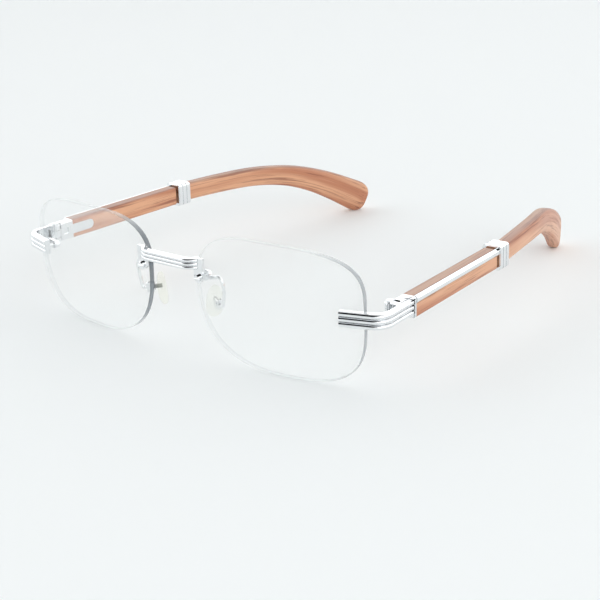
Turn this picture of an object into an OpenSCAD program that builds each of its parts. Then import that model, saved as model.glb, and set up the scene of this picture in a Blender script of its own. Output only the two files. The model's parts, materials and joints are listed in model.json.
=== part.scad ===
// Rimless eyeglasses with wooden temples. Millimetres.
// X across the face (+X is the wearer's left), Y front to back, Z up.
// The frame stands on its lens bottoms and temple tips at Z = 0.

/* [Lenses] */
// width of one lens across its widest line
lens_width = 55; // [46:0.5:62]
// height of one lens
lens_height = 40; // [32:0.5:46]
// clear distance between the lenses at the nose
nose_gap = 19.4; // [15:0.2:24]
// thickness of a lens
lens_thickness = 1.6; // [1.3:0.1:3]
// radius of the front surface
lens_curve = 132; // [90:1:260]
// how far each lens turns back at the temple side, degrees
wrap_angle = 7; // [3:0.5:10]
// how far the lens tops lean forward, degrees
lean_angle = 3; // [0:0.5:6]

/* [Bridge and endpieces] */
// height of the triple-ridged endpieces
bar_height = 4.6; // [3.6:0.1:5.6]
// height of the triple-ridged bridge
bridge_height = 3.4; // [2.8:0.1:4.4]
// thickness of the bars without their ridges
bar_thickness = 1.3; // [1:0.1:2]
// height of the bridge centre line above the lens centre
bridge_rise = 10.5; // [6:0.5:13]
// height of the hinge centre line above the lens centre
hinge_rise = 2.1; // [1:0.1:8]
// outer radius of the corner round to the hinge
corner_radius = 5; // [4:0.25:8]
// diameter of the threaded shanks
shank_d = 1.2; // [1:0.05:1.6]

/* [Nose pads] */
// height of a nose pad
pad_height = 10.5; // [9:0.5:16]
// width of a nose pad
pad_width = 6.6; // [5:0.2:8]
// wire diameter of the pad arms
wire_d = 1.1; // [0.8:0.1:1.4]

/* [Temples] */
// length of the temple from hinge to the end of the wood
temple_length = 142.4; // [130:0.1:160]
// thickness of the front wood
temple_thickness = 4.8; // [4:0.1:6]
// height of the front wood
temple_height = 6.3; // [5.8:0.1:8]
// length of the front wood from hinge to collar
front_length = 56; // [44:1:66]
// length of the collar
collar_length = 5.8; // [4:0.2:8]
// diameter of the inlaid rod
rod_d = 2.2; // [1.8:0.1:3]
// how far the temples close in towards each other, degrees
temple_toe = 2.9; // [0:0.1:6]
// how far the tip has curved inwards at its end
tip_inset = 18.9; // [8:0.1:24]

/* [Clearances] */
// all round a shank in its hole
shank_clearance = 0.05; // [0.03:0.01:0.1]
// between pieces that are fastened together
seat_gap = 0.05; // [0.02:0.01:0.1]
// between pieces that move past each other
moving_gap = 0.3; // [0.2:0.05:0.5]

/* [Colours] */
// clear plastic of the lenses
lens_colour = [0.86, 0.93, 0.93];
// polished metal
metal_colour = [0.82, 0.83, 0.84];
// oiled wood
wood_colour = [0.72, 0.45, 0.31];
// soft plastic of the nose pads
pad_colour = [0.88, 0.9, 0.8];

/* [Hidden] */
$fn = 48;
LEFT = 0;
RIGHT = 1;

// Lens outline: four quarter curves between the points where it is level
// or upright. Offsets are shares of the half width and half height.
half_w = lens_width / 2;
half_h = lens_height / 2;
top_u = -0.29 * half_w;
bottom_u = 0.07 * half_w;
outer_v = 0.15 * half_h;
nose_v = 0.325 * half_h;
quarter_steps = 26;

// Lens placing
lens_x = nose_gap / 2 + half_w * cos(wrap_angle);
bottom_sag = sag(bottom_u, half_h);
lens_z = half_h * cos(lean_angle) - bottom_sag * sin(lean_angle);
lens_gap = 0.12;
hole_d = shank_d + 2 * lens_gap;

// Bars: three half-round ridges on a flat back
ridge_groove = 0.03;
bar_z = lens_z + hinge_rise;

// Bridge: a straight bar that turns back at both ends into upright tabs
bridge_z = lens_z + bridge_rise;
tab_x = nose_gap / 2 + 1.4;
tab_drop = 4.1;
tab_r = 1.6;
tab_t = 1.1;
tab_u = (tab_x - lens_x) / cos(wrap_angle);
// room for the slope of the lens under the flat tab
tab_slack = tab_r / 2 * abs(front_y(tab_u + 1, bridge_rise - tab_drop)
  - front_y(tab_u - 1, bridge_rise - tab_drop));
tab_front_y = front_y(tab_u, bridge_rise - tab_drop) - tab_slack;
tab_back_y = tab_front_y + 2 * tab_slack + lens_thickness;
tab_z = bridge_z - tab_drop;
bend_r = 5;
bend_turn = 55;
bridge_half = tab_x - bend_r * sin(bend_turn) - 0.4;
bridge_y = tab_front_y - tab_t + tab_slack - bend_r * (1 - cos(bend_turn));
head_d = 2.3;
pad_plate_t = 0.6;
nut_t = 1.2;
nut_d = 2.3;

// Endpiece: its own frame lies flat against the lens front
seat_u = half_w - 3.2;
seat_turn = wrap_angle + asin(seat_u / lens_curve);
seat_gap_front = 0.15;
seat_x = world_x(seat_u, hinge_rise)
  + (seat_gap_front + bar_thickness) * sin(seat_turn);
seat_y = front_y(seat_u, hinge_rise)
  - (seat_gap_front + bar_thickness) * cos(seat_turn);
inner_reach = 3.6;
outer_reach = 5.6;
corner_turn = 90 + temple_toe - seat_turn;
hinge_back = 4.6;
barrel_r = 1.5;
tail_gap = 0.85;
box_start = barrel_r + moving_gap + 0.2;
box_length = 5;
flange_t = 0.7;
box_outer = barrel_r + tail_gap - moving_gap;
tail_length = hinge_back + box_start + box_length - flange_t - moving_gap;
tail_lap = 0.3;
tail_inset = 0.04;
stud_x = [-2.1, 1.1];
stud_back = bar_thickness + seat_gap_front + lens_thickness;
plate_t = 0.5;

// Hinge: upright barrels behind the corner
corner_x = seat_x + outer_reach * cos(seat_turn)
  - corner_radius * sin(seat_turn);
corner_y = seat_y + outer_reach * sin(seat_turn)
  + corner_radius * cos(seat_turn);
barrel_step = 2.4;
barrel_gap = 0.1;
hinge_x = corner_x + corner_radius - bar_thickness - barrel_r - tail_gap;
hinge_y = corner_y + hinge_back;
barrel_bottom = bar_z - 2.9;
barrel_top = bar_z + 2.9;
middle_bottom = bar_z - barrel_step / 2;
middle_top = bar_z + barrel_step / 2;

// Temple, in a frame on the hinge axis with y along the temple
outer_face = hinge_outer();
inner_face = outer_face - temple_thickness;
mid_face = outer_face - temple_thickness / 2;
box_end = box_start + box_length;
neck_length = 0.8;
wood_end = front_length - neck_length;
collar_proud = 0.75;
groove_depth = 0.25;
edge_r = 0.7;
tongue_length = 9;
tongue_height = 3.2;
tongue_t = 0.9;
rod_inset = 0.6;
rod_below = 1.05;
rod_x = outer_face - rod_inset;
rod_z = bar_z + temple_height / 2 - rod_below;
tang_w = 1.4;
tang_h = 1.8;
tang_z = bar_z - 0.8;
tang_start = box_end - flange_t + 0.3;
tang_end = front_length + collar_length + 8;
tip_start = front_length + collar_length;
tip_length = temple_length - tip_start;

// Wooden tip: share of length, share of inset, share of drop, height,
// thickness at each station
tip_path = [
  [0.000, 0.000, 0.000, 6.3, 4.6],
  [0.175, 0.093, 0.007, 6.5, 4.6],
  [0.340, 0.198, 0.030, 6.7, 4.7],
  [0.460, 0.312, 0.077, 7.0, 4.8],
  [0.580, 0.455, 0.171, 7.7, 4.8],
  [0.700, 0.593, 0.341, 8.8, 4.8],
  [0.820, 0.735, 0.575, 10.2, 4.8],
  [0.945, 0.910, 0.873, 11.7, 4.8],
  [1.000, 1.000, 1.000, 12.2, 4.7]
];
tip_stations = 34;
tip_round = 5;
tip_points = 24;
tip_drop_a = bar_z;
tip_drop_b = tip_drop_a + tip_low(tip_drop_a) / 0.9;
tip_drop_c = tip_drop_b + tip_low(tip_drop_b) / 0.9;
tip_drop = tip_drop_c + tip_low(tip_drop_c) / 0.9;

// Middle of the part from front to back, where its origin lies
front_most = bridge_y - ridge_r(bridge_height);
rear_most = max([for (i = [0 : 6], p = tip_ring(1 - i / 60))
  hinge_y + p[0] * sin(temple_toe)
    + (p[1] + seat_gap) * cos(temple_toe)]);
middle_y = (front_most + rear_most) / 2;

// Pad: centre, lean and the wire's course from the eyelet to the box
pad_x = tab_x + 0.2;
pad_y = tab_back_y + 4;
pad_z = lens_z - 3.2;
pad_turn = -28;
pad_lean = 8;
pad_t = 2.4;
box_size = [2.2, 2.0, 2.8];
box_off = 2.5;
box_rise = 0.8;
pin_d = 0.7;
core_t = 0.8;
core_reach = 3.5;
arm_path = [
  [tab_x + 2.6, tab_back_y + 0.5, tab_z - 0.5],
  [tab_x + 3.3, tab_back_y + 0.8, tab_z - 0.35],
  [tab_x + 4.2, tab_back_y + 0.9, tab_z - 0.1],
  [tab_x + 5.2, tab_back_y + 1.0, tab_z - 0.8],
  [tab_x + 5.8, tab_back_y + 1.2, tab_z - 2.6],
  [tab_x + 5.8, tab_back_y + 1.5, tab_z - 4.8],
  [tab_x + 5.5, tab_back_y + 1.7, tab_z - 6.8],
  pad_point([box_off + 2.5, 0.2, box_rise + 0.1]),
  pad_point([box_off + box_size[0] / 2 + seat_gap, 0, box_rise])
];
arm_stations = 30;

// ---- functions ----

// set-back of the front sphere at a point of the lens
function sag(u, v) = lens_curve - sqrt(lens_curve ^ 2 - u ^ 2 - v ^ 2);

// lens frame to the frame of the glasses
function world_x(u, v) =
  lens_x + u * cos(wrap_angle)
  - (sag(u, v) * cos(lean_angle) - v * sin(lean_angle)) * sin(wrap_angle);
function front_y(u, v) =
  u * sin(wrap_angle)
  + (sag(u, v) * cos(lean_angle) - v * sin(lean_angle)) * cos(wrap_angle);

// quarter of a rounded rectangle, s from 0 to 90 degrees
function quarter(cx, cy, rx, ry, n, s) =
  [cx + rx * cos(s) ^ (2 / n), cy + ry * sin(s) ^ (2 / n)];
function flip(p, cx, cy) = [2 * cx - p[0], 2 * cy - p[1]];

// smooth curve through a list of rows at parameter t (0..1)
function cr(a, b, c, d, t) =
  0.5 * (2 * b + (c - a) * t + (2 * a - 5 * b + 4 * c - d) * t ^ 2
  + (3 * b - a - 3 * c + d) * t ^ 3);
function along(rows, t) =
  let (n = len(rows) - 1)
  let (i = min(floor(t * n), n - 1))
  let (f = t * n - i)
  cr(rows[max(i - 1, 0)], rows[i], rows[i + 1], rows[min(i + 2, n)], f);

// radius of a bar's ridges
function ridge_r(height) = height / 6 - ridge_groove;

// outer face of the temple, seen from the hinge axis
function hinge_outer() =
  barrel_r + tail_gap + bar_thickness + ridge_r(bar_height) - 0.1;

// point of the tip's centre line and its section size
function tip_at(t) = along(tip_path, t);
function tip_centre(t, drop) =
  let (p = tip_at(t))
  [mid_face - tip_inset * p[1], tip_start + tip_length * p[0],
   bar_z - drop * p[2]];
function tip_dir(t, drop) =
  let (d = tip_centre(min(t + 0.01, 1), drop)
    - tip_centre(max(t - 0.01, 0), drop))
  t == 0 ? [0, 1, 0] : d / norm(d);
function tip_low(drop) =
  min([for (i = [24 : tip_stations])
    let (t = i / tip_stations)
    tip_centre(t, drop)[2]
      - tip_at(t)[3] * tip_end(t) / 2 * tip_dir(t, drop)[1]]);

// how much of its full height the tip has left near its end
function tip_end(t) =
  let (left = (1 - tip_at(t)[0]) * tip_length)
  left >= tip_round ? 1
  : 0.35 + 0.65 * sqrt(1 - (1 - left / tip_round) ^ 2.2);

// ring of points round a section with rounded corners
function section(w, h, n, k) =
  [for (i = [0 : n - 1])
    let (a = 360 * (i + 0.5) / n)
    let (c = cos(a))
    let (s = sin(a))
    [w / 2 * sign(c) * abs(c) ^ k, h / 2 * sign(s) * abs(s) ^ k]];
function tip_ring(t) =
  let (p = tip_at(t))
  let (c = tip_centre(t, tip_drop))
  let (d = tip_dir(t, tip_drop))
  let (side = [d[1], -d[0], 0] / norm([d[0], d[1]]))
  let (up = cross(side, d))
  let (e = tip_end(t))
  [for (q = section(p[4] * (0.4 + 0.6 * e), p[3] * e, tip_points, 0.5))
    c + q[0] * side + q[1] * up];

// ring of points round the pad arm
function arm_at(t) = along(arm_path, t);
function arm_ring(t) =
  let (d0 = arm_at(min(t + 0.01, 1)) - arm_at(max(t - 0.01, 0)))
  let (d = d0 / norm(d0))
  let (s0 = cross(d, [0.3, 0.5, 0.8]))
  let (side = s0 / norm(s0))
  let (up = cross(side, d))
  [for (q = section(wire_d, wire_d, 12, 1))
    arm_at(t) + q[0] * side + q[1] * up];

// pad frame to the layout: lean about Y, then turn about Z
function pad_point(p) =
  let (x = p[0] * cos(pad_lean) + p[2] * sin(pad_lean))
  let (z = p[2] * cos(pad_lean) - p[0] * sin(pad_lean))
  [pad_x + x * cos(pad_turn) - p[1] * sin(pad_turn),
   pad_y + x * sin(pad_turn) + p[1] * cos(pad_turn),
   pad_z + z];

// ring of points round the pad at a share of its height
function pad_ring(t) =
  let (a = 180 * t)
  let (k = max(sin(a), 0.06) ^ 0.55)
  let (w = pad_width * (0.78 + 0.22 * (1 - t)))
  [for (q = section(w * k, pad_t * (0.35 + 0.65 * k), 20, 0.8))
    [q[1] + 0.06 * q[0] ^ 2 - 0.3, q[0],
     pad_height * (t - 0.5)]];

// ---- general modules ----

// a solid through a list of equal rings
module skin(rings) {
  n = len(rings[0]);
  m = len(rings);
  polyhedron(
    points = [for (r = rings) for (p = r) p],
    faces = concat(
      [[for (i = [0 : n - 1]) i]],
      [for (j = [0 : m - 2]) for (i = [0 : n - 1])
        [j * n + i, (j + 1) * n + i, (j + 1) * n + (i + 1) % n]],
      [for (j = [0 : m - 2]) for (i = [0 : n - 1])
        [j * n + i, (j + 1) * n + (i + 1) % n, j * n + (i + 1) % n]],
      [[for (i = [n - 1 : -1 : 0]) (m - 1) * n + i]]
    )
  );
}

// rectangle with round corners, centred
module round_rect(w, h, r) {
  square([w - 2 * r, h], center = true);
  square([w, h - 2 * r], center = true);
  for (x = [-1, 1], y = [-1, 1]) {
    translate([x * (w / 2 - r), y * (h / 2 - r)]) {
      circle(r = r, $fn = 24);
    }
  }
}

module on_side(side) {
  mirror([side, 0, 0]) {
    children();
  }
}

// from the lens-centred layout to the frame of the part
module placed(side) {
  translate([0, -middle_y, 0]) {
    on_side(side) {
      children();
    }
  }
}

module at_lens() {
  translate([lens_x, 0, lens_z]) {
    rotate([lean_angle, 0, wrap_angle]) {
      children();
    }
  }
}

module at_seat() {
  translate([seat_x, seat_y, bar_z]) {
    rotate([0, 0, seat_turn]) {
      children();
    }
  }
}

module at_temple() {
  translate([hinge_x, hinge_y, 0]) {
    rotate([0, 0, temple_toe]) {
      children();
    }
  }
}

module at_pad() {
  translate([pad_x, pad_y, pad_z]) {
    rotate([0, pad_lean, pad_turn]) {
      children();
    }
  }
}

module at_stud(i) {
  at_seat() {
    translate([stud_x[i], 0, 0]) {
      rotate([-90, 0, 0]) {
        children();
      }
    }
  }
}

module at_tab() {
  translate([tab_x, 0, tab_z]) {
    rotate([-90, 0, 0]) {
      children();
    }
  }
}

// a length of temple section from y0 to y1
module temple_block(y0, y1, w, h, r) {
  translate([mid_face, y1, bar_z]) {
    rotate([90, 0, 0]) {
      linear_extrude(height = y1 - y0) {
        round_rect(w, h, r);
      }
    }
  }
}

// section of a triple-ridged bar: flat back towards +X, ridges at X = 0,
// all of it finer by an inset
module bar_section(height, thickness, inset = 0) {
  translate([inset, -height / 2 + inset]) {
    square([thickness - 2 * inset, height - 2 * inset]);
  }
  for (i = [-1 : 1]) {
    translate([0, i * height / 3]) {
      circle(r = ridge_r(height) - inset, $fn = 24);
    }
  }
}

// the same section as an outward-facing profile for turned parts
module ring_section(radius, height, thickness) {
  translate([radius, 0]) {
    mirror([1, 0]) {
      bar_section(height, thickness);
    }
  }
}

// ---- pieces of the front ----

module lens_outline() {
  p = concat(
    [for (i = [0 : quarter_steps - 1])
      quarter(top_u, outer_v, half_w - top_u, half_h - outer_v, 3.5,
        90 * i / quarter_steps)],
    [for (i = [0 : quarter_steps - 1])
      let (q = quarter(0, 0, half_w + top_u, half_h - nose_v, 2.4,
        90 - 90 * i / quarter_steps))
      [top_u - q[0], nose_v + q[1]]],
    [for (i = [0 : quarter_steps - 1])
      flip(quarter(bottom_u, nose_v, half_w + bottom_u,
        half_h + nose_v, 2.6, 90 * i / quarter_steps), bottom_u, nose_v)],
    [for (i = [0 : quarter_steps - 1])
      let (q = quarter(0, 0, half_w - bottom_u, half_h + outer_v, 3.2,
        90 - 90 * i / quarter_steps))
      [bottom_u + q[0], outer_v - q[1]]]
  );
  polygon(p);
}

module lens() {
  color(lens_colour)
  difference() {
    at_lens() {
      intersection() {
        rotate([90, 0, 0]) {
          translate([0, 0, -30]) {
            linear_extrude(height = 60) {
              lens_outline();
            }
          }
        }
        difference() {
          translate([0, lens_curve, 0]) {
            sphere(r = lens_curve, $fn = 200);
          }
          translate([0, lens_curve, 0]) {
            sphere(r = lens_curve - lens_thickness, $fn = 200);
          }
          translate([-100, 60, -100]) {
            cube([200, 300, 200]);
          }
        }
      }
    }
    at_tab() {
      translate([0, 0, -10]) {
        cylinder(d = hole_d, h = 20);
      }
    }
    for (i = [0, 1]) {
      at_stud(i) {
        translate([0, 0, -5]) {
          cylinder(d = hole_d, h = 20);
        }
      }
    }
  }
}

module bridge() {
  color(metal_colour) {
    translate([bridge_half, bridge_y, bridge_z]) {
      rotate([90, 0, -90]) {
        linear_extrude(height = 2 * bridge_half) {
          mirror([1, 0]) {
            bar_section(bridge_height, bar_thickness);
          }
        }
      }
    }
    for (side = [LEFT, RIGHT]) {
      on_side(side) {
        translate([bridge_half, bridge_y + bend_r, bridge_z]) {
          rotate([0, 0, -90]) {
            rotate_extrude(angle = bend_turn, $fn = 96) {
              ring_section(bend_r, bridge_height, bar_thickness);
            }
          }
        }
        difference() {
          translate([tab_x, tab_front_y, 0]) {
            rotate([90, 0, 0]) {
              linear_extrude(height = tab_t) {
                translate([0, tab_z]) {
                  circle(r = tab_r);
                }
                translate([-tab_r, tab_z]) {
                  square([2 * tab_r, tab_drop + bridge_height / 2]);
                }
              }
            }
          }
          at_tab() {
            translate([0, 0, -10]) {
              cylinder(d = shank_d + 2 * shank_clearance, h = 20);
            }
          }
        }
      }
    }
  }
}

module bridge_screw() {
  head_y = tab_front_y - tab_t - seat_gap;
  tail_y = tab_back_y + pad_plate_t + 2 * seat_gap + nut_t + 0.2;
  color(metal_colour)
  at_tab() {
    difference() {
      translate([0, 0, head_y]) {
        translate([0, 0, -0.5]) {
          cylinder(d = head_d, h = 0.5);
        }
        translate([0, 0, -0.8]) {
          cylinder(d1 = head_d - 0.7, d2 = head_d, h = 0.3);
        }
        cylinder(d = shank_d, h = tail_y - head_y);
      }
      translate([-head_d, -0.15, head_y - 1]) {
        cube([2 * head_d, 0.3, 0.5]);
      }
    }
  }
}

module pad_plate() {
  color(metal_colour)
  at_tab() {
    translate([0, 0, tab_back_y + seat_gap]) {
      difference() {
        union() {
          cylinder(r = 1.7, h = pad_plate_t);
          translate([0, -0.1, 0]) {
            cube([2.4, 1.2, pad_plate_t]);
          }
        }
        translate([0, 0, -1]) {
          cylinder(d = shank_d + 2 * shank_clearance, h = 3);
        }
      }
    }
  }
}

module hex_nut() {
  difference() {
    cylinder(d = nut_d, h = nut_t, $fn = 6);
    translate([0, 0, -1]) {
      cylinder(d = shank_d + 2 * shank_clearance, h = nut_t + 2);
    }
  }
}

module bridge_nut() {
  color(metal_colour)
  at_tab() {
    translate([0, 0, tab_back_y + pad_plate_t + 2 * seat_gap]) {
      hex_nut();
    }
  }
}

module pad_arm() {
  color(metal_colour)
  skin([for (i = [0 : arm_stations]) arm_ring(i / arm_stations)]);
}

module pad_box() {
  color(metal_colour)
  at_pad() {
    translate([box_off, 0, box_rise]) {
      difference() {
        cube(box_size, center = true);
        translate([-0.3, 0, 0]) {
          cube([box_size[0], core_t + 2 * moving_gap, 2 * box_size[2]],
            center = true);
        }
        rotate([90, 0, 0]) {
          cylinder(d = pin_d + 2 * shank_clearance, h = 4, center = true);
        }
      }
    }
  }
}

module pad_screw() {
  color(metal_colour)
  at_pad() {
    translate([box_off, 0, box_rise]) {
      rotate([90, 0, 0]) {
        cylinder(d = pin_d, h = box_size[1] + 0.2, center = true);
        translate([0, 0, box_size[1] / 2 + seat_gap]) {
          cylinder(d = 1.3, h = 0.35);
        }
      }
    }
  }
}

module pad_core() {
  color(metal_colour)
  at_pad() {
    translate([box_off, 0, box_rise]) {
      difference() {
        union() {
          rotate([90, 0, 0]) {
            cylinder(r = 0.65, h = core_t, center = true);
          }
          translate([-core_reach, -core_t / 2, -0.6]) {
            cube([core_reach, core_t, 1.2]);
          }
        }
        rotate([90, 0, 0]) {
          cylinder(d = pin_d + 2 * shank_clearance, h = 4, center = true);
        }
      }
    }
  }
}

module nose_pad() {
  color(pad_colour)
  at_pad() {
    difference() {
      translate([-0.9, 0, 0]) {
        skin([for (i = [0 : 16]) pad_ring(i / 16)]);
      }
      translate([box_off - core_reach - seat_gap, -core_t / 2 - seat_gap,
          box_rise - 0.6 - seat_gap]) {
        cube([core_reach, core_t + 2 * seat_gap, 1.2 + 2 * seat_gap]);
      }
    }
  }
}

module endpiece() {
  color(metal_colour) {
    at_seat() {
      translate([outer_reach, 0, 0]) {
        rotate([90, 0, -90]) {
          linear_extrude(height = inner_reach + outer_reach) {
            mirror([1, 0]) {
              bar_section(bar_height, bar_thickness);
            }
          }
        }
      }
      translate([outer_reach, corner_radius, 0]) {
        rotate([0, 0, -90]) {
          rotate_extrude(angle = corner_turn, $fn = 96) {
            ring_section(corner_radius, bar_height, bar_thickness);
          }
        }
        rotate([0, 0, corner_turn - 90]) {
          translate([corner_radius, tail_length, 0]) {
            rotate([90, 0, 0]) {
              linear_extrude(height = tail_length + tail_lap) {
                mirror([1, 0]) {
                  bar_section(bar_height, bar_thickness, tail_inset);
                }
              }
            }
          }
        }
      }
    }
    for (i = [0, 1]) {
      at_stud(i) {
        translate([0, 0, bar_thickness / 2]) {
          cylinder(d = shank_d, h = stud_back + plate_t + nut_t);
        }
      }
    }
    difference() {
      for (z = [[barrel_bottom, middle_bottom - barrel_gap],
                [middle_top + barrel_gap, barrel_top]]) {
        translate([hinge_x, hinge_y, z[0]]) {
          cylinder(r = barrel_r, h = z[1] - z[0]);
          rotate([0, 0, temple_toe]) {
            translate([0, -1.2, 0]) {
              cube([barrel_r + 1.1, 2.4, z[1] - z[0]]);
            }
          }
        }
      }
      translate([hinge_x, hinge_y, barrel_bottom - 1]) {
        cylinder(d = shank_d + 2 * shank_clearance, h = 10);
      }
    }
  }
}

module endpiece_plate() {
  color(metal_colour)
  difference() {
    at_seat() {
      translate([-0.5, stud_back + lens_gap + plate_t, 0]) {
        rotate([90, 0, 0]) {
          linear_extrude(height = plate_t) {
            round_rect(5.8, 2.6, 1.2);
          }
        }
      }
    }
    for (i = [0, 1]) {
      at_stud(i) {
        cylinder(d = shank_d + 2 * shank_clearance, h = 10);
      }
    }
  }
}

module endpiece_nuts() {
  color(metal_colour)
  for (i = [0, 1]) {
    at_stud(i) {
      translate([0, 0, stud_back + lens_gap + plate_t + seat_gap]) {
        hex_nut();
      }
    }
  }
}

module hinge_screw() {
  color(metal_colour)
  translate([hinge_x, hinge_y, 0]) {
    difference() {
      union() {
        translate([0, 0, barrel_bottom]) {
          cylinder(d = shank_d, h = barrel_top - barrel_bottom + 0.3);
        }
        translate([0, 0, barrel_top + seat_gap]) {
          cylinder(d = 2.3, h = 0.6);
        }
      }
      translate([-2, -0.15, barrel_top + 0.35]) {
        cube([4, 0.3, 1]);
      }
    }
  }
}

// ---- pieces of a temple, in the temple frame ----

module tongue(gap) {
  translate([inner_face - 0.05, box_end - 1, bar_z - tongue_height / 2 - gap]) {
    cube([tongue_t + gap, tongue_length - tongue_height / 2 + 1,
      tongue_height + 2 * gap]);
  }
  translate([inner_face - 0.05, box_end + tongue_length - tongue_height / 2,
      bar_z]) {
    rotate([0, 90, 0]) {
      cylinder(d = tongue_height + 2 * gap, h = tongue_t + gap);
    }
  }
}

module tang(gap) {
  translate([mid_face - tang_w / 2 - gap, tang_start - gap,
      tang_z - tang_h / 2 - gap]) {
    cube([tang_w + 2 * gap, tang_end - tang_start + 2 * gap,
      tang_h + 2 * gap]);
  }
}

module hinge_box() {
  color(metal_colour)
  at_temple() {
    difference() {
      union() {
        temple_block(box_end - flange_t, box_end, temple_thickness,
          temple_height, edge_r);
        intersection() {
          temple_block(box_start, box_end - 0.1, temple_thickness,
            temple_height, edge_r);
          translate([inner_face - 1, 0, 0]) {
            cube([box_outer - inner_face + 1, box_end, 2 * bar_z]);
          }
        }
        translate([0, 0, middle_bottom]) {
          cylinder(r = barrel_r, h = barrel_step);
        }
        translate([inner_face + 0.1, 0, middle_bottom]) {
          cube([2.2, box_start + 0.5, barrel_step]);
        }
        tongue(0);
      }
      translate([0, 0, middle_bottom - 1]) {
        cylinder(d = shank_d + 2 * shank_clearance, h = barrel_step + 2);
      }
      translate([inner_face - 1, box_start + 1, bar_z - 1]) {
        cube([1.4, 2.2, 2]);
      }
      tang(seat_gap);
    }
  }
}

module wood_front() {
  color(wood_colour)
  at_temple() {
    difference() {
      temple_block(box_end + seat_gap, wood_end, temple_thickness,
        temple_height, edge_r);
      tongue(seat_gap);
      tang(seat_gap);
      translate([rod_x, wood_end + 1, rod_z]) {
        rotate([90, 0, 0]) {
          cylinder(d = rod_d + 2 * seat_gap, h = wood_end);
        }
      }
    }
  }
}

module inlay_rod() {
  color(metal_colour)
  at_temple() {
    translate([rod_x, front_length - seat_gap, rod_z]) {
      rotate([90, 0, 0]) {
        cylinder(d = rod_d, h = front_length - box_end - 2 * seat_gap);
      }
    }
  }
}

module temple_core() {
  color(metal_colour)
  at_temple() {
    tang(0);
  }
}

module collar() {
  y0 = front_length;
  band = collar_length / 3;
  half_groove = 0.2;
  color(metal_colour)
  at_temple() {
    difference() {
      union() {
        temple_block(y0, y0 + collar_length,
          temple_thickness + 2 * (collar_proud - groove_depth),
          temple_height + 2 * (collar_proud - groove_depth), edge_r);
        for (i = [0 : 2]) {
          temple_block(y0 + i * band + half_groove, y0 + (i + 1) * band - half_groove,
            temple_thickness + 2 * collar_proud,
            temple_height + 2 * collar_proud, edge_r + groove_depth);
        }
      }
      tang(seat_gap);
    }
  }
}

module wood_tip() {
  color(wood_colour)
  at_temple() {
    difference() {
      translate([0, seat_gap, 0]) {
        skin([for (i = [0 : tip_stations]) tip_ring(i / tip_stations)]);
      }
      tang(seat_gap);
    }
  }
}

// ---- nodes ----

placed(LEFT) bridge();

placed(LEFT) lens();  // left_lens
placed(LEFT) bridge_screw();  // left_bridge_screw
placed(LEFT) pad_plate();  // left_pad_plate
placed(LEFT) bridge_nut();  // left_bridge_nut
placed(LEFT) pad_arm();  // left_pad_arm
placed(LEFT) pad_box();  // left_pad_box
placed(LEFT) pad_screw();  // left_pad_screw
placed(LEFT) pad_core();  // left_pad_core
placed(LEFT) nose_pad();  // left_nose_pad
placed(LEFT) endpiece();  // left_endpiece
placed(LEFT) endpiece_plate();  // left_endpiece_plate
placed(LEFT) endpiece_nuts();  // left_endpiece_nuts
placed(LEFT) hinge_screw();  // left_hinge_screw
placed(LEFT) hinge_box();  // left_hinge_box
placed(LEFT) wood_front();  // left_wood_front
placed(LEFT) inlay_rod();  // left_inlay_rod
placed(LEFT) temple_core();  // left_temple_core
placed(LEFT) collar();  // left_collar
placed(LEFT) wood_tip();  // left_wood_tip

placed(RIGHT) lens();  // right_lens
placed(RIGHT) bridge_screw();  // right_bridge_screw
placed(RIGHT) pad_plate();  // right_pad_plate
placed(RIGHT) bridge_nut();  // right_bridge_nut
placed(RIGHT) pad_arm();  // right_pad_arm
placed(RIGHT) pad_box();  // right_pad_box
placed(RIGHT) pad_screw();  // right_pad_screw
placed(RIGHT) pad_core();  // right_pad_core
placed(RIGHT) nose_pad();  // right_nose_pad
placed(RIGHT) endpiece();  // right_endpiece
placed(RIGHT) endpiece_plate();  // right_endpiece_plate
placed(RIGHT) endpiece_nuts();  // right_endpiece_nuts
placed(RIGHT) hinge_screw();  // right_hinge_screw
placed(RIGHT) hinge_box();  // right_hinge_box
placed(RIGHT) wood_front();  // right_wood_front
placed(RIGHT) inlay_rod();  // right_inlay_rod
placed(RIGHT) temple_core();  // right_temple_core
placed(RIGHT) collar();  // right_collar
placed(RIGHT) wood_tip();  // right_wood_tip
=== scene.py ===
"""Rimless eyeglasses with wooden temples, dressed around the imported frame."""
import json
import math

import bmesh
import bpy
from mathutils import Matrix, Vector


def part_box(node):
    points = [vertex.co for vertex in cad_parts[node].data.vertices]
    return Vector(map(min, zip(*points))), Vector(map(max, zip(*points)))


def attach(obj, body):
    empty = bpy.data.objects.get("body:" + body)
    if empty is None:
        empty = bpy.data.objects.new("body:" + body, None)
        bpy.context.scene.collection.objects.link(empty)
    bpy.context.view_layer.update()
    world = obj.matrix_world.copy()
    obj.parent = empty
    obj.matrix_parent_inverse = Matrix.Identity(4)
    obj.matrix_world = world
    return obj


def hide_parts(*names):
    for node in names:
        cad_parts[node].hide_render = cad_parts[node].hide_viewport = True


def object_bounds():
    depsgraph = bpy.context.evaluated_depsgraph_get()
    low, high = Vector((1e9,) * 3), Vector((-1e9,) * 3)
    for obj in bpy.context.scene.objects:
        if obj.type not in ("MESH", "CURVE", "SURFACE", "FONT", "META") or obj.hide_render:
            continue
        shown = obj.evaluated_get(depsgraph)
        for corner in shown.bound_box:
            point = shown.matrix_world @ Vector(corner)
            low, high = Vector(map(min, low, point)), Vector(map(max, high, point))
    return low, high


bl_info = {
    "name": "Rimless eyeglasses",
    "version": (1, 0, 0),
    "blender": (4, 5, 0),
    "location": "View3D > Sidebar > Eyeglasses",
    "description": "Builds the visible pieces of a pair of rimless eyeglasses",
    "category": "Object",
}

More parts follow.
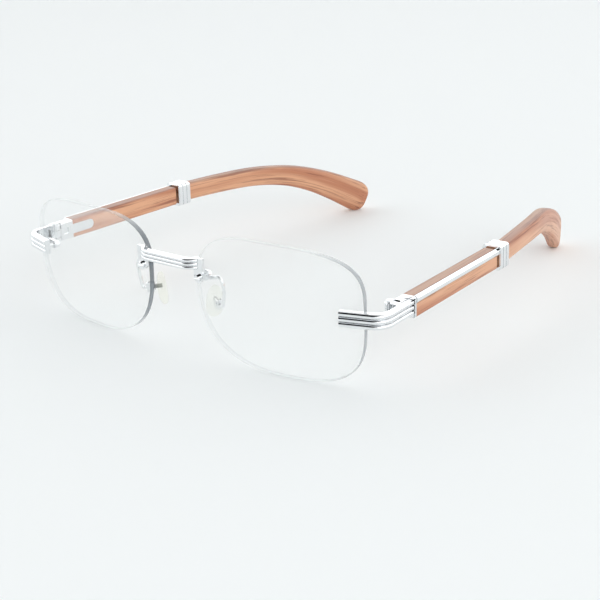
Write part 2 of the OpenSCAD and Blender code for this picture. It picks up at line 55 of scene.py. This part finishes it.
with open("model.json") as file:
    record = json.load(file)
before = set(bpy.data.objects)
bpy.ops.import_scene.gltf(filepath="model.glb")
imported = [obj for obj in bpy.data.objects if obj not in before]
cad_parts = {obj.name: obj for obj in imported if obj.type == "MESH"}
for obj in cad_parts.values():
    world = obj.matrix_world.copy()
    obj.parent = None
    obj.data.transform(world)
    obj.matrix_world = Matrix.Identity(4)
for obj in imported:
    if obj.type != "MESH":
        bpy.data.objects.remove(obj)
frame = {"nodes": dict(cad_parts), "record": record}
CAD_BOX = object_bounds()
MM = 0.001
SIDES = {"left": 1, "right": -1}
JOINTS = {joint["name"]: joint for joint in frame["record"]["behaviour"]["joints"]}
HINGE = Vector(JOINTS["left_temple_fold"]["pos_m"]) / MM
TOE = math.radians(2.9)


# ---- settings ----

class LensSettings(bpy.types.PropertyGroup):
    """Sizes and colours of the lenses, in millimetres."""

    width: bpy.props.FloatProperty(
        name="Width", description="Widest part of one lens", default=55.0, min=40, max=65)
    height: bpy.props.FloatProperty(
        name="Height", description="Height of one lens", default=40.0, min=28, max=50)
    thickness: bpy.props.FloatProperty(
        name="Thickness", description="From front to back", default=1.6, min=1, max=4)
    curve: bpy.props.FloatProperty(
        name="Curve", description="Radius of the front surface", default=132.0, min=80, max=300)
    wrap: bpy.props.FloatProperty(
        name="Wrap", description="Turn towards the temples", default=math.radians(7),
        subtype="ANGLE", unit="ROTATION")
    lean: bpy.props.FloatProperty(
        name="Lean", description="Forward lean of the lens tops", default=math.radians(3),
        subtype="ANGLE", unit="ROTATION")
    tint: bpy.props.FloatVectorProperty(
        name="Tint", description="Colour of the clear plastic", default=(0.96, 0.99, 0.99),
        subtype="COLOR", size=3, min=0, max=1)
    # painted reflection: the dark colour painted into the +X side of each lens edge
    edge: bpy.props.FloatVectorProperty(
        name="Edge", description="Colour seen in the polished edge",
        default=(0.10, 0.12, 0.14), subtype="COLOR", size=3, min=0, max=1)


class MetalSettings(bpy.types.PropertyGroup):
    """Colour and polish of the metal."""

    colour: bpy.props.FloatVectorProperty(
        name="Colour", description="Plating colour", default=(0.88, 0.89, 0.90),
        subtype="COLOR", size=3, min=0, max=1)
    roughness: bpy.props.FloatProperty(
        name="Roughness", description="Roughness of the polish", default=0.025, min=0, max=1)


class WoodSettings(bpy.types.PropertyGroup):
    """Colours of the wood."""

    light: bpy.props.FloatVectorProperty(
        name="Light", description="Pale bands of the grain", default=(0.68, 0.355, 0.205),
        subtype="COLOR", size=3, min=0, max=1)
    middle: bpy.props.FloatVectorProperty(
        name="Middle", description="Body colour", default=(0.49, 0.195, 0.100),
        subtype="COLOR", size=3, min=0, max=1)
    dark: bpy.props.FloatVectorProperty(
        name="Dark", description="Dark streaks", default=(0.215, 0.060, 0.030),
        subtype="COLOR", size=3, min=0, max=1)


class StageSettings(bpy.types.PropertyGroup):
    """Floor, light and camera."""

    floor: bpy.props.FloatVectorProperty(
        name="Floor", description="Floor colour", default=(0.90, 0.935, 0.94),
        subtype="COLOR", size=3, min=0, max=1)
    light: bpy.props.FloatProperty(
        name="Light", description="Strength of the surrounding light", default=1.9, min=0)


# ---- shader building ----

class Value:
    """A number in a shader tree, so that sums on it add Math nodes."""

    def __init__(self, paint, socket):
        self.paint = paint
        self.socket = socket

    def _math(self, operation, first, second=None):
        node = self.paint.tree.nodes.new("ShaderNodeMath")
        node.operation = operation
        for slot, value in zip(node.inputs, (first, second)):
            self.paint.feed(slot, value)
        return Value(self.paint, node.outputs[0])

    def __add__(self, other):
        return self._math("ADD", self, other)

    __radd__ = __add__

    def __sub__(self, other):
        return self._math("SUBTRACT", self, other)

    def __rsub__(self, other):
        return self._math("SUBTRACT", other, self)

    def __mul__(self, other):
        return self._math("MULTIPLY", self, other)

    __rmul__ = __mul__

    def most(self, other):
        return self._math("MAXIMUM", self, other)


class Paint:
    """One material, or the world, and the nodes in it."""

    def __init__(self, owner, output="OutputMaterial"):
        self.material = owner
        owner.use_nodes = True
        self.tree = owner.node_tree
        self.tree.nodes.clear()
        self.output = self.node(output)

    def feed(self, slot, value):
        """Puts a value, colour or link into a socket."""
        if value is None:
            return
        if isinstance(value, Value):
            self.tree.links.new(value.socket, slot)
        elif isinstance(value, bpy.types.NodeSocket):
            self.tree.links.new(value, slot)
        elif slot.type == "RGBA" and len(value) == 3:
            slot.default_value = (*value, 1.0)
        else:
            slot.default_value = value

    def node(self, kind, settings=None, **sockets):
        """Adds a node: settings first, then values or links by socket name."""
        node = self.tree.nodes.new("ShaderNode" + kind)
        for name, value in (settings or {}).items():
            setattr(node, name, value)
        for name, value in sockets.items():
            self.feed(node.inputs[name.replace("_", " ")], value)
        return node

    def number(self, node, output=0):
        return Value(self, node.outputs[output])

    def blend(self, share, first, second):
        """Mixes two colours."""
        node = self.tree.nodes.new("ShaderNodeMix")
        node.data_type = "RGBA"
        self.feed(node.inputs[0], share)
        self.feed(node.inputs[6], first)
        self.feed(node.inputs[7], second)
        return node.outputs[2]

    def place(self, scale=(1, 1, 1), turn=0.0, layer=None):
        """Coordinates fixed to the piece, in metres, turned about Z and then scaled,
        or those of a named layer of its points."""
        if layer:
            coords = self.node("Attribute", {"attribute_name": layer}).outputs["Vector"]
        else:
            coords = self.node("TexCoord").outputs["Object"]
        turned = self.node("Mapping", Vector=coords, Rotation=(0, 0, turn))
        return self.node("Mapping", Vector=turned.outputs[0], Scale=scale).outputs[0]

    def axis(self, vector, axis):
        """One of the three numbers of a vector."""
        return self.number(self.node("SeparateXYZ", Vector=vector), axis)

    def noise(self, vector, scale, detail=4.0, roughness=0.5, distortion=0.0):
        node = self.node("TexNoise", Vector=vector, Scale=scale, Detail=detail,
                         Roughness=roughness, Distortion=distortion)
        return self.number(node)

    def smooth(self, value, low, high, to_low=0.0, to_high=1.0):
        """Takes low..high to to_low..to_high, smoothly and held at the ends."""
        node = self.node("MapRange", {"interpolation_type": "SMOOTHSTEP"}, Value=value)
        for slot, number in zip(node.inputs[1:5], (low, high, to_low, to_high)):
            slot.default_value = number
        return self.number(node)

    def bump(self, height, strength, distance):
        node = self.node("Bump", Strength=strength, Distance=distance, Height=height)
        return node.outputs[0]

    def surface(self, **sockets):
        shader = self.node("BsdfPrincipled", None, **sockets)
        self.tree.links.new(shader.outputs[0], self.output.inputs[0])
        return self.material


def new_paint(name):
    return Paint(bpy.data.materials.new(name))


def polished_metal(settings):
    paint = new_paint("polished_metal")
    place = paint.place()
    cloud = paint.noise(place, 260, 3)
    haze = paint.smooth(paint.noise(place, 900, 4, 0.6), 0.35, 0.75)
    lines = paint.noise(paint.place((1500, 90, 1500)), 1.0, 3)
    tone = paint.blend(cloud * 0.5, settings.colour, (0.74, 0.76, 0.78))
    rough = settings.roughness + haze * 0.025 + lines * 0.01
    return paint.surface(
        Base_Color=tone, Metallic=1.0, Roughness=rough,
        Normal=paint.bump(lines, 0.02, 0.00002))


# Painted shade: a darker, rougher copy of the polished metal for the temple cores, so that the
# gap before each collar reads as shade.
def dark_metal():
    paint = new_paint("shaded_metal")
    grain = paint.noise(paint.place(), 1200, 4)
    tone = paint.blend(grain * 0.5, (0.30, 0.31, 0.32), (0.45, 0.46, 0.47))
    return paint.surface(Base_Color=tone, Metallic=1.0, Roughness=0.25 + grain * 0.15)


def oiled_wood(settings, name, turn=0.0, layer=None, shaded_seam=None):
    """Streaks run along Y of the turned coordinates, or of the named layer. Painted shade
    darkens the wood towards a joint at the given place along Y, and painted shade darkens its
    upward faces."""
    paint = new_paint(name)
    warp = paint.noise(paint.place((1, 0.10, 1), turn, layer), 110, 2)
    bands = paint.noise(paint.place((1, 0.05, 1), turn, layer), 260, 3, 0.5, 0.2)
    streaks = paint.noise(paint.place((1, 0.035, 1), turn, layer), 880, 5, 0.62, 0.12)
    hairs = paint.noise(paint.place((1, 0.014, 1), turn, layer), 2600, 3, 0.6)
    pores = paint.smooth(hairs, 0.56, 0.70)
    pale = paint.smooth(bands + (warp - 0.5) * 0.30, 0.40, 0.62)
    dark = paint.smooth(streaks + (warp - 0.5) * 0.35, 0.52, 0.68)
    body = paint.blend(pale, settings.middle, settings.light)
    body = paint.blend(dark * 0.74, body, settings.dark)
    body = paint.blend(pores * 0.60, body, settings.dark)
    # painted shade: the wood is painted nearly black towards its end at the collar joint, where
    # shade falls in the gap
    if shaded_seam is not None:
        far = paint.axis(paint.place(turn=turn, layer=layer), 1)
        body = paint.blend(paint.smooth(far, shaded_seam - 1.4 * MM, shaded_seam) * 0.9, body,
                           (0.03, 0.02, 0.015))
    # painted shade: faces turned upwards are painted darker and greyer, as if less light fell
    # on them from above
    top_facing_shade = paint.axis(paint.node("NewGeometry").outputs["Normal"], 2)
    body = paint.blend(paint.smooth(top_facing_shade, 0.45, 0.95) * 0.38, body, (0.17, 0.12, 0.10))
    rough = 0.36 + streaks * 0.12 + pores * 0.12
    relief = pores * -0.6 + streaks * 0.4
    return paint.surface(
        Base_Color=body, Roughness=rough, Coat_Weight=0.25, Coat_Roughness=0.22,
        Normal=paint.bump(relief, 0.25, 0.00006))


def clear_lens(settings):
    paint = new_paint("lens_clear")
    smear = paint.smooth(paint.noise(paint.place(), 60, 3), 0.35, 0.75)
    tone = paint.blend(smear * 0.3, settings.tint, (0.92, 0.96, 0.97))
    material = paint.surface(
        Base_Color=tone, Roughness=0.02 + smear * 0.03, Alpha=0.15, IOR=1.5)
    material.surface_render_method = "BLENDED"
    return material


def lens_edge(settings, name, middle, depth):
    """Polished edge, pale but for the side towards +X of the lens's middle, where a painted
    dark reflection is as dark as depth says."""
    paint = new_paint("lens_edge_" + name)
    place = paint.place()
    cloud = paint.smooth(paint.noise(place, 70, 2), 0.35, 0.65)
    beside = (paint.axis(place, 0) - middle) * (2 / (settings.width * MM))
    # painted reflection: the edge's +X side is painted dark and more opaque, standing in for
    # the dark surroundings the polished edge mirrors there
    side = paint.smooth(beside, 0.35, 0.95) * depth
    tone = paint.blend(side, (0.74, 0.79, 0.80), settings.edge)
    tone = paint.blend(cloud * 0.25, tone, (0.45, 0.50, 0.53))
    material = paint.surface(
        Base_Color=tone, Roughness=0.10 + cloud * 0.08, Alpha=0.30 + side * 0.55, IOR=1.5)
    material.surface_render_method = "BLENDED"
    return material


def pad_plastic():
    paint = new_paint("pad_plastic")
    place = paint.place()
    cloud = paint.noise(place, 300, 3)
    specks = paint.smooth(paint.noise(place, 1800, 2), 0.60, 0.72)
    tone = paint.blend(cloud * 0.6, (0.80, 0.82, 0.56), (0.90, 0.92, 0.74))
    material = paint.surface(
        Base_Color=tone, Roughness=0.14 + cloud * 0.1 + specks * 0.1, Alpha=0.13, IOR=1.45)
    material.surface_render_method = "BLENDED"
    return material


# ---- shape helpers ----

def to_row(side, point):
    """Millimetres on the left of the frame to metres on either side."""
    return Vector((side * point[0], point[1], point[2])) * MM


def new_piece(name, bm, materials, side=1):
    """Turns a bmesh in millimetres into a smooth-shaded piece."""
    if side < 0:
        bmesh.ops.reverse_faces(bm, faces=bm.faces[:])
    mesh = bpy.data.meshes.new(name)
    bm.to_mesh(mesh)
    bm.free()
    for polygon in mesh.polygons:
        polygon.use_smooth = True
    piece = bpy.data.objects.new(name, mesh)
    bpy.context.scene.collection.objects.link(piece)
    for material in materials:
        mesh.materials.append(material)
    return piece


def loft(bm, rings, closed_ends=True):
    """Joins equal rings of points with quads."""
    rows = [[bm.verts.new(point) for point in ring] for ring in rings]
    for first, second in zip(rows, rows[1:]):
        count = len(first)
        for i in range(count):
            j = (i + 1) % count
            bm.faces.new((first[i], first[j], second[j], second[i]))
    if closed_ends:
        bm.faces.new(rows[0][::-1])
        bm.faces.new(rows[-1])
    return rows


def along(rows, share):
    """Smooth curve through a list of rows at 0..1."""
    count = len(rows) - 1
    i = min(int(share * count), count - 1)
    t = share * count - i
    picks = [rows[max(i - 1, 0)], rows[i], rows[i + 1], rows[min(i + 2, count)]]
    a, b, c, d = (Vector(row) for row in picks)
    return 0.5 * (2 * b + (c - a) * t + (2 * a - 5 * b + 4 * c - d) * t ** 2
                  + (3 * b - a - 3 * c + d) * t ** 3)


def superellipse(width, height, count, power):
    ring = []
    for i in range(count):
        angle = 2 * math.pi * (i + 0.5) / count
        c, s = math.cos(angle), math.sin(angle)
        ring.append((width / 2 * math.copysign(abs(c) ** power, c),
                     height / 2 * math.copysign(abs(s) ** power, s)))
    return ring


def material(name):
    return bpy.data.materials[name]


# ---- the operators ----

class EYEWEAR_OT_finishes(bpy.types.Operator):
    """Makes the materials and puts them on the nodes that are kept."""

    bl_idname = "eyewear.finishes"
    bl_label = "Finishes"

    def execute(self, context):
        scene = context.scene
        polished_metal(scene.eyewear_metal)
        dark_metal()
        clear_lens(scene.eyewear_lens)
        pad_plastic()
        oiled_wood(scene.eyewear_wood, "wood_tip", layer="grain")
        for name, side in SIDES.items():
            low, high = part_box(name + "_lens")
            # painted reflection: how dark the +X side of each lens edge is painted
            lens_edge(scene.eyewear_lens, name, (low.x + high.x) / 2,
                      0.75 if side > 0 else 1.0)
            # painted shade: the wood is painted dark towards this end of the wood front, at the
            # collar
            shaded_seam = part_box(name + "_wood_front")[1].y
            oiled_wood(scene.eyewear_wood, "wood_" + name, -side * TOE, shaded_seam=shaded_seam)
        for name, node in frame["nodes"].items():
            side = name.split("_")[0]
            if "wood" in name:
                finish = "wood_" + side
            elif name.endswith("_lens"):
                finish = "lens_clear"
            elif "nose_pad" in name:
                finish = "pad_plastic"
            elif "core" in name:
                finish = "shaded_metal"
            else:
                finish = "polished_metal"
            node.data.materials.clear()
            node.data.materials.append(material(finish))
        return {"FINISHED"}


class EYEWEAR_OT_edges(bpy.types.Operator):
    """Softens the edges of the kept metal nodes."""

    bl_idname = "eyewear.edges"
    bl_label = "Soft edges"

    def execute(self, context):
        widths = {"collar": 0.28, "hinge_box": 0.2, "endpiece": 0.08, "bridge": 0.08,
                  "inlay_rod": 0.3, "wood_front": 0.15}
        for name, node in frame["nodes"].items():
            kind = name.split("_", 1)[-1]
            bevel = node.modifiers.new("soft_edges", "BEVEL")
            bevel.width = widths.get(kind, 0.06) * MM
            bevel.segments = 3
            bevel.limit_method = "ANGLE"
            bevel.angle_limit = math.radians(32)
            bevel.harden_normals = True
            bevel.use_clamp_overlap = True
        return {"FINISHED"}


class EYEWEAR_OT_lenses(bpy.types.Operator):
    """Builds both clear lenses with polished edges."""

    bl_idname = "eyewear.lenses"
    bl_label = "Lenses"

    def outline(self, lens, steps=52):
        half_w, half_h = lens.width / 2, lens.height / 2
        top_u, bottom_u = -0.29 * half_w, 0.07 * half_w
        outer_v, nose_v = 0.15 * half_h, 0.325 * half_h
        # centre, half width, half height, squareness and quarter turn of each corner
        quarters = (
            (top_u, outer_v, half_w - top_u, half_h - outer_v, 3.5, 0),
            (top_u, nose_v, half_w + top_u, half_h - nose_v, 2.4, 1),
            (bottom_u, nose_v, half_w + bottom_u, half_h + nose_v, 2.6, 2),
            (bottom_u, outer_v, half_w - bottom_u, half_h + outer_v, 3.2, 3),
        )
        points = []
        for u, v, wide, high, power, turn in quarters:
            for i in range(steps):
                angle = math.pi / 2 * (i / steps + turn)
                c, s = math.cos(angle), math.sin(angle)
                points.append((u + wide * math.copysign(abs(c) ** (2 / power), c),
                               v + high * math.copysign(abs(s) ** (2 / power), s)))
        return points

    def execute(self, context):
        lens = context.scene.eyewear_lens
        outline = self.outline(lens)
        centre = (0.03 * lens.width, 0.0)
        sphere = lens.curve

        def deep(u, v, radius):
            return sphere - math.sqrt(radius ** 2 - u * u - v * v)

        def ring(share, depth, inset=0.0):
            points = []
            for u, v in outline:
                reach = math.hypot(u - centre[0], v - centre[1])
                k = share - inset / reach
                x, z = centre[0] + (u - centre[0]) * k, centre[1] + (v - centre[1]) * k
                if depth < 0:
                    y = deep(x, z, sphere)
                elif depth > 1:
                    y = deep(x, z, sphere - lens.thickness)
                else:
                    front = deep(x, z, sphere)
                    back = deep(x, z, sphere - lens.thickness)
                    y = front + (back - front) * depth
                points.append(Vector((x, y, z)))
            return points

        turn = Matrix.Rotation(lens.wrap, 4, "Z") @ Matrix.Rotation(lens.lean, 4, "X")
        for name, side in SIDES.items():
            low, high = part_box(name + "_lens")
            bm = bmesh.new()
            inner = (0.04, 0.15, 0.3, 0.45, 0.6, 0.75, 0.88, 0.96)
            rings = [ring(k, -1) for k in inner] + [ring(1, -1, 0.16)]
            rings += [ring(1, 0.04, 0.05), ring(1, 0.13), ring(1, 0.5)]
            rings += [ring(1, 0.87), ring(1, 0.96, 0.05)]
            rings += [ring(1, 2, 0.16)] + [ring(k, 2) for k in reversed(inner)]
            loft(bm, rings)
            bm.faces.ensure_lookup_table()
            edge_start = len(inner) * len(outline)
            for face in bm.faces[edge_start:edge_start + 6 * len(outline)]:
                face.material_index = 1
            for vert in bm.verts:
                point = turn @ vert.co
                vert.co = (side * point.x, point.y, point.z)
            xs = [vert.co.x for vert in bm.verts]
            ys = [vert.co.y for vert in bm.verts]
            zs = [vert.co.z for vert in bm.verts]
            shift = Vector(((low.x + high.x) / 2 / MM - (min(xs) + max(xs)) / 2,
                            (low.y + high.y) / 2 / MM - (min(ys) + max(ys)) / 2,
                            (low.z + high.z) / 2 / MM - (min(zs) + max(zs)) / 2))
            for vert in bm.verts:
                vert.co = (vert.co + shift) * MM
            bmesh.ops.recalc_face_normals(bm, faces=bm.faces[:])
            piece = new_piece("clear_lens_" + name, bm,
                              [material("lens_clear"), material("lens_edge_" + name)])
            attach(piece, "front")
            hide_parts(name + "_lens")
        return {"FINISHED"}


class EYEWEAR_OT_tips(bpy.types.Operator):
    """Carves the curved wooden tips."""

    bl_idname = "eyewear.tips"
    bl_label = "Wooden tips"

    def execute(self, context):
        start, reach, inset, drop = 61.8, 80.6, 18.9, 18.6202
        mid_face = 1.887
        round_end = 5
        # share of reach, of inset and of drop, then height and thickness
        path = (
            (0.000, 0.000, 0.000, 6.3, 4.6),
            (0.175, 0.093, 0.007, 6.5, 4.6),
            (0.340, 0.198, 0.030, 6.7, 4.7),
            (0.460, 0.312, 0.077, 7.0, 4.8),
            (0.580, 0.455, 0.171, 7.7, 4.8),
            (0.700, 0.593, 0.341, 8.8, 4.8),
            (0.820, 0.735, 0.575, 10.2, 4.8),
            (0.945, 0.910, 0.873, 11.7, 4.8),
            (1.000, 1.000, 1.000, 12.2, 4.7),
        )

        def centre(share):
            row = along(path, share)
            return Vector((mid_face - inset * row[1], start + reach * row[0],
                           HINGE.z - drop * row[2]))

        def ring(share):
            row = along(path, share)
            middle = centre(share)
            heading = centre(min(share + 0.01, 1)) - centre(max(share - 0.01, 0))
            if share == 0:
                heading = Vector((0, 1, 0))
            heading.normalize()
            across = Vector((heading.y, -heading.x, 0)).normalized()
            up = across.cross(heading)
            left = (1 - row[0]) * reach
            full = 1.0
            if left < round_end:
                closing = max(0.0, 1 - (1 - left / round_end) ** 2.2)
                full = 0.35 + 0.65 * math.sqrt(closing)
            return [(middle + a * across + b * up, Vector((a, share * 96, b)))
                    for a, b in superellipse(row[4] * (0.4 + 0.6 * full), row[3] * full,
                                             48, 0.5)]

        turn = Matrix.Rotation(TOE, 4, "Z")
        for name, side in SIDES.items():
            bm = bmesh.new()
            shares = [i / 80 for i in range(76)] + [0.95 + 0.05 * i / 14 for i in range(15)]
            pairs = [ring(share) for share in shares]
            rings = [[point for point, _ in pair] for pair in pairs]
            grain = [offset * MM for pair in pairs for _, offset in pair]
            last = rings[-1]
            middle = sum(last, Vector()) / len(last)
            for share in (0.7, 0.3):
                rings.append([middle + (point - middle) * share for point in last])
                grain += [(offset * share * MM).copy() for _, offset in pairs[-1]]
            loft(bm, rings)
            for vert in bm.verts:
                point = turn @ vert.co + Vector((HINGE.x, HINGE.y, 0))
                vert.co = to_row(side, point)
            bmesh.ops.recalc_face_normals(bm, faces=bm.faces[:])
            piece = new_piece("carved_tip_" + name, bm, [material("wood_tip")])
            layer = piece.data.attributes.new("grain", "FLOAT_VECTOR", "POINT")
            shift = Vector((side * 0.02, 0, 0))
            for item, offset in zip(layer.data, grain):
                item.vector = offset + shift
            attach(piece, name + "_temple")
            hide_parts(name + "_wood_tip")
        return {"FINISHED"}


class EYEWEAR_OT_pads(bpy.types.Operator):
    """Moulds the soft nose pads round their metal cores."""

    bl_idname = "eyewear.pads"
    bl_label = "Nose pads"

    def execute(self, context):
        height, width, thick = 10.3, 6.4, 2.3
        lean, toe_in = math.radians(8), math.radians(-28)
        steps = 44
        turn = Matrix.Rotation(toe_in, 4, "Z") @ Matrix.Rotation(lean, 4, "Y")
        for name, side in SIDES.items():
            low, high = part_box(name + "_nose_pad")
            bm = bmesh.new()
            rings = []
            for i in range(steps + 1):
                angle = math.pi * (0.02 + 0.96 * i / steps)
                share = 0.5 - 0.5 * math.cos(angle)
                full = math.sin(angle) ** 0.9
                wide = width * (0.78 + 0.22 * (1 - share)) * full
                deep = thick * (0.30 + 0.70 * full)
                rings.append([turn @ Vector((b + 0.06 * a * a, a, height * (share - 0.5)))
                              for a, b in superellipse(wide, deep, 40, 0.85)])
            loft(bm, rings)
            for vert in bm.verts:
                vert.co = to_row(side, vert.co)
            numbers = [[vert.co[i] for vert in bm.verts] for i in range(3)]
            shift = (low + high) / 2 - Vector([(min(n) + max(n)) / 2 for n in numbers])
            bmesh.ops.translate(bm, verts=bm.verts[:], vec=shift)
            bmesh.ops.recalc_face_normals(bm, faces=bm.faces[:])
            piece = new_piece("soft_pad_" + name, bm, [material("pad_plastic")])
            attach(piece, name + "_pad")
            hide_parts(name + "_nose_pad")
        return {"FINISHED"}


class EYEWEAR_OT_stage(bpy.types.Operator):
    """Builds the floor, the light round it and the camera."""

    bl_idname = "eyewear.stage"
    bl_label = "Stage"

    def floor(self, settings):
        paint = new_paint("floor_paint")
        cloud = paint.noise(paint.place(), 3, 2)
        tone = paint.blend(cloud * 0.4, settings.floor, (0.92, 0.95, 0.955))
        paint.surface(Base_Color=tone, Roughness=0.75)
        bm = bmesh.new()
        level = CAD_BOX[0][2]
        flat, bend, rise, steps, sides = 0.9, 1.6, math.radians(46), 16, 96
        profile = [(0.02, 0.0), (0.2, 0.0), (0.5, 0.0), (flat, 0.0)]
        for i in range(1, steps + 1):
            angle = rise * i / steps
            profile.append((flat + bend * math.sin(angle), bend * (1 - math.cos(angle))))
        rings = []
        for radius, height in profile:
            rings.append([Vector((radius * math.cos(2 * math.pi * i / sides),
                                  radius * math.sin(2 * math.pi * i / sides),
                                  level + height)) for i in range(sides)])
        rows = loft(bm, rings, closed_ends=False)
        bm.faces.new(rows[0])
        bmesh.ops.recalc_face_normals(bm, faces=bm.faces[:])
        if bm.faces[0].normal.z < 0:
            bmesh.ops.reverse_faces(bm, faces=bm.faces[:])
        piece = new_piece("pale_floor", bm, [paint.material])

    def surroundings(self, settings):
        world = bpy.data.worlds.new("soft_room")
        paint = Paint(world, "OutputWorld")
        coords = paint.node("TexCoord")
        direction = coords.outputs["Generated"]

        def patch(azimuth, elevation, inner, outer):
            """1 inside a dark patch of the room, in degrees from its middle."""
            a, e = math.radians(azimuth), math.radians(elevation)
            middle = (math.sin(a) * math.cos(e), -math.cos(a) * math.cos(e), math.sin(e))
            node = paint.node("VectorMath", {"operation": "DOT_PRODUCT"})
            paint.feed(node.inputs[0], direction)
            node.inputs[1].default_value = middle
            share = Value(paint, node.outputs["Value"])
            return paint.smooth(share, math.cos(math.radians(outer)),
                                math.cos(math.radians(inner)))

        # dark parts of the room, mirrored by the metal's faces
        dark = patch(4, 58, 31, 35)
        dark = dark.most(patch(4, 34, 19, 23))
        dark = dark.most(patch(22, 50, 20, 25))
        dark = dark.most(patch(155, 37, 3, 6) * 0.9)
        height = paint.smooth(paint.axis(direction, 2), 0.15, 1.0)
        light = paint.blend(height * 0.55, (1.0, 1.0, 1.0), (0.0, 0.0, 0.0))
        light = paint.blend(dark, light, (0.01, 0.011, 0.012))
        background = paint.node("Background", None, Color=light, Strength=settings.light)
        paint.feed(paint.output.inputs[0], background.outputs[0])
        bpy.context.scene.world = world

    def lamp(self, name, place, aim, size, power):
        data = bpy.data.lights.new(name, "AREA")
        data.energy = power
        data.size = size
        lamp = bpy.data.objects.new(name, data)
        lamp.location = place
        lamp.rotation_mode = "QUATERNION"
        lamp.rotation_quaternion = (Vector(aim) - Vector(place)).to_track_quat("-Z", "Y")
        bpy.context.scene.collection.objects.link(lamp)

    def camera(self):
        azimuth, elevation, roll = (math.radians(x) for x in (38.08, 19.84, -1.56))
        back = Vector((math.sin(azimuth) * math.cos(elevation),
                       -math.cos(azimuth) * math.cos(elevation), math.sin(elevation)))
        right = Vector((math.cos(azimuth), math.sin(azimuth), 0))
        up = back.cross(right)
        right_2 = right * math.cos(roll) + up * math.sin(roll)
        up_2 = up * math.cos(roll) - right * math.sin(roll)
        data = bpy.data.cameras.new("camera")
        data.sensor_width = 36
        data.lens = 85.44
        data.shift_x = -0.00403
        data.shift_y = -0.00697
        data.clip_start = 0.01
        data.clip_end = 50
        camera = bpy.data.objects.new("camera", data)
        target = Vector((-36.34, HINGE.y + 92.247, -21.65)) * MM
        distance = 0.5347
        matrix = Matrix((right_2, up_2, back)).transposed().to_4x4()
        matrix.translation = target + back * distance
        camera.matrix_world = matrix
        bpy.context.scene.collection.objects.link(camera)
        bpy.context.scene.camera = camera

    def execute(self, context):
        settings = context.scene.eyewear_stage
        self.floor(settings)
        self.surroundings(settings)
        self.lamp("top_light", (0.2, 0.9, 1.3), (0, 0, 0), 1.2, 1.5)
        self.lamp("side_light", (1.0, -0.54, 0.37), (0, 0, 0), 0.9, 2)
        self.camera()
        context.scene.view_settings.view_transform = "Standard"
        return {"FINISHED"}


class EYEWEAR_PT_panel(bpy.types.Panel):
    """Lists the settings and the pieces."""

    bl_idname = "EYEWEAR_PT_panel"
    bl_label = "Eyeglasses"
    bl_space_type = "VIEW_3D"
    bl_region_type = "UI"
    bl_category = "Eyeglasses"

    def draw(self, context):
        layout = self.layout
        for group in GROUPS:
            settings = getattr(context.scene, group)
            for name in settings.__annotations__:
                layout.prop(settings, name)
        for operator in STEPS:
            layout.operator(operator.bl_idname)


GROUPS = {
    "eyewear_lens": LensSettings,
    "eyewear_metal": MetalSettings,
    "eyewear_wood": WoodSettings,
    "eyewear_stage": StageSettings,
}
STEPS = (
    EYEWEAR_OT_stage,
    EYEWEAR_OT_finishes,
    EYEWEAR_OT_edges,
    EYEWEAR_OT_lenses,
    EYEWEAR_OT_tips,
    EYEWEAR_OT_pads,
)


def register():
    for item in (*GROUPS.values(), *STEPS, EYEWEAR_PT_panel):
        bpy.utils.register_class(item)
    for name, group in GROUPS.items():
        setattr(bpy.types.Scene, name, bpy.props.PointerProperty(type=group))


def unregister():
    for name in GROUPS:
        delattr(bpy.types.Scene, name)
    for item in reversed((*GROUPS.values(), *STEPS, EYEWEAR_PT_panel)):
        bpy.utils.unregister_class(item)


def main():
    register()
    for step in STEPS:
        area, name = step.bl_idname.split(".")
        getattr(getattr(bpy.ops, area), name)()


if __name__ == "__main__":
    main()
